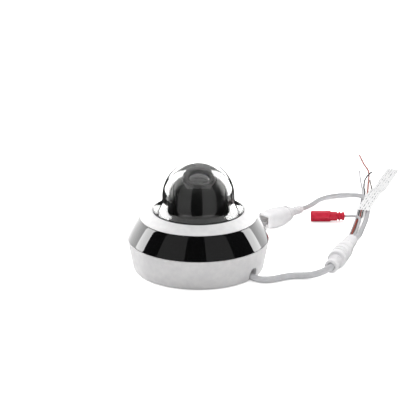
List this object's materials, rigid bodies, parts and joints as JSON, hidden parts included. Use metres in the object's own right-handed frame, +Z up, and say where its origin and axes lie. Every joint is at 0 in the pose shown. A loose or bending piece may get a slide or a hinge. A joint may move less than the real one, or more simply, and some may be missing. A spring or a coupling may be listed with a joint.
{
  "type": "dome camera",
  "caption": "Round dome surveillance camera with a clear bubble, a pan and tilt camera ball, a black infrared window and a cable tail with network, power and bare wire ends.",
  "frame": {"origin": "centre of the base's flat underside, on the surface it stands on", "axes": "+Z up through the bubble, -Y toward the side the lens leans to, +X to the right of someone facing the camera from -Y"},
  "size_m": [0.2853, 0.4107, 0.1017],
  "materials": {
    "white_powder_coat": "fine texture, satin",
    "black_ir_polycarbonate": "high gloss, black, passes infrared",
    "clear_polycarbonate": "clear hard-coated polycarbonate",
    "black_plastic": "semi-gloss black",
    "gasket_silicone": "matt",
    "circuit_board": "solder mask",
    "heat_sink_aluminium": "satin",
    "component_plastic": "matt",
    "steel_sheet": "satin",
    "lamp_lens": "clear epoxy",
    "white_cable_jacket": "satin PVC",
    "white_moulding": "satin",
    "red_moulding": "semi-gloss",
    "label_film": "plain white film",
    "black_wire": "PVC",
    "red_wire": "PVC",
    "grey_wire": "PVC",
    "gear_acetal": "acetal",
    "pinion_brass": "machined",
    "lens_glass": "coated lens glass",
    "filter_glass": "infrared cut filter"
  },
  "bodies": {
    "base": {"base_housing": "white_powder_coat", "ir_window": "black_ir_polycarbonate", "top_ring": "white_powder_coat", "dome_gasket": "gasket_silicone", "dome_bubble": "clear_polycarbonate", "dome_clamp_ring": "black_plastic", "dome_screw_1": "steel_sheet", "dome_screw_2": "steel_sheet", "dome_screw_3": "steel_sheet", "inner_shroud": "black_plastic", "pan_chassis": "black_plastic", "chassis_screw_1": "steel_sheet", "chassis_screw_2": "steel_sheet", "chassis_screw_3": "steel_sheet", "main_board": "circuit_board", "processor_heat_sink": "heat_sink_aluminium", "network_transformer": "component_plastic", "card_socket": "steel_sheet", "reset_switch": "component_plastic", "ir_board": "circuit_board", "ir_lamp_1": "lamp_lens", "ir_lamp_2": "lamp_lens", "ir_lamp_3": "lamp_lens", "ir_lamp_4": "lamp_lens", "pan_bearing": "steel_sheet", "pan_motor": "steel_sheet", "cable_gland": "gasket_silicone", "main_cable": "white_cable_jacket", "junction_nut": "white_moulding", "junction_body": "white_moulding", "data_lead": "white_cable_jacket", "data_jack_boot": "white_moulding", "data_jack": "white_moulding", "power_lead": "white_cable_jacket", "power_jack": "red_moulding", "cable_label": "label_film", "wire_black": "black_wire", "wire_red": "red_wire", "wire_grey": "grey_wire", "wire_white": "white_cable_jacket"},
    "pan_carriage": {"turntable": "black_plastic", "pan_gear": "gear_acetal", "left_yoke_arm": "black_plastic", "right_yoke_arm": "black_plastic", "tilt_gear": "gear_acetal"},
    "pan_drive_pinion": {"pan_pinion": "pinion_brass"},
    "tilt_ball": {"ball_front_shell": "black_plastic", "ball_rear_shell": "black_plastic", "lens_ring": "black_plastic", "front_lens": "lens_glass", "lens_barrel": "black_plastic", "sensor_board": "circuit_board", "tilt_motor": "steel_sheet"},
    "tilt_drive_pinion": {"tilt_pinion": "pinion_brass"},
    "zoom_lens": {"zoom_group": "lens_glass"},
    "focus_lens": {"focus_group": "lens_glass"},
    "day_night_filter": {"filter_slider": "filter_glass"},
    "reset_key": {"reset_button": "red_moulding"},
    "storage_card": {"memory_card": "component_plastic"}
  },
  "joints": [
    {"name": "pan", "type": "hinge", "parent": "base", "child": "pan_carriage", "pos_m": [0, 0, 0.03], "axis": [0, 0, 1], "range_deg": [-165, 165]},
    {"name": "pan_pinion_spin", "type": "hinge", "parent": "base", "child": "pan_drive_pinion", "pos_m": [-0.03118, 0.018, 0.028], "axis": [0, 0, 1], "range_deg": [-826, 826]},
    {"name": "tilt", "type": "hinge", "parent": "pan_carriage", "child": "tilt_ball", "pos_m": [0, 0, 0.066], "axis": [0.9945, 0.1045, 0], "range_deg": [-20, 70]},
    {"name": "tilt_pinion_spin", "type": "hinge", "parent": "tilt_ball", "child": "tilt_drive_pinion", "pos_m": [0.01698, 0.00591, 0.05472], "axis": [0.9945, 0.1045, 0], "range_deg": [-41, 141]},
    {"name": "zoom_slide", "type": "slide", "parent": "tilt_ball", "child": "zoom_lens", "axis": [0.0358, -0.3401, 0.9397], "range_m": [-0.003, 0.004]},
    {"name": "focus_slide", "type": "slide", "parent": "tilt_ball", "child": "focus_lens", "axis": [0.0358, -0.3401, 0.9397], "range_m": [-0.0015, 0.0015]},
    {"name": "filter_slide", "type": "slide", "parent": "tilt_ball", "child": "day_night_filter", "axis": [0.9945, 0.1045, 0], "range_m": [-0.0045, 0.0045]},
    {"name": "reset_press", "type": "slide", "parent": "base", "child": "reset_key", "axis": [0, 0, -1], "range_m": [0, 0.0003], "stiffness_N_per_m": 2000, "springref_m": -0.0005},
    {"name": "card_pull", "type": "slide", "parent": "base", "child": "storage_card", "axis": [0, -1, 0], "range_m": [0, 0.012]}
  ],
  "couplings": [
    {"joint": "pan_pinion_spin", "follows": "pan", "ratio": -5},
    {"joint": "tilt_pinion_spin", "follows": "tilt", "ratio": 2}
  ]
}
